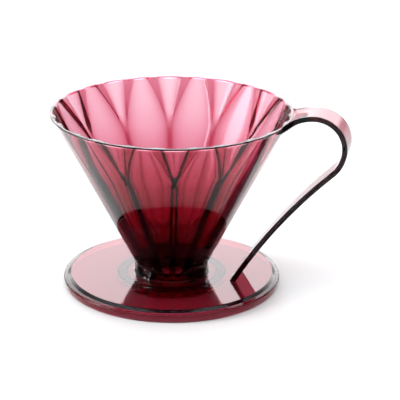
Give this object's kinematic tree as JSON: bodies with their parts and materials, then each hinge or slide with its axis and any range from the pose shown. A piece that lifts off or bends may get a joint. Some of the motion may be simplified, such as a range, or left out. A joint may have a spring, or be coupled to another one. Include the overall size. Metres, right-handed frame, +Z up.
{
  "type": "pour over dripper",
  "caption": "Clear resin cone dripper with petal relief inside, an open strap handle and a round lipped stand plate with a centring ring.",
  "frame": {"origin": "cone's axis, at the plane that the stand plate's lip stands on; the drain's lower mouth is 0.8 mm above it", "axes": "+Z up along the cone's axis towards the rim, +X towards the handle, +Y by the right-hand rule"},
  "size_m": [0.1434, 0.116, 0.0914],
  "materials": {
    "ruby_resin": "clear, polished, wine red"
  },
  "bodies": {
    "root": {"petal_cone": "ruby_resin", "stand_plate": "ruby_resin", "neck_collar": "ruby_resin", "centring_ring": "ruby_resin", "handle_strap": "ruby_resin"}
  },
  "joints": []
}
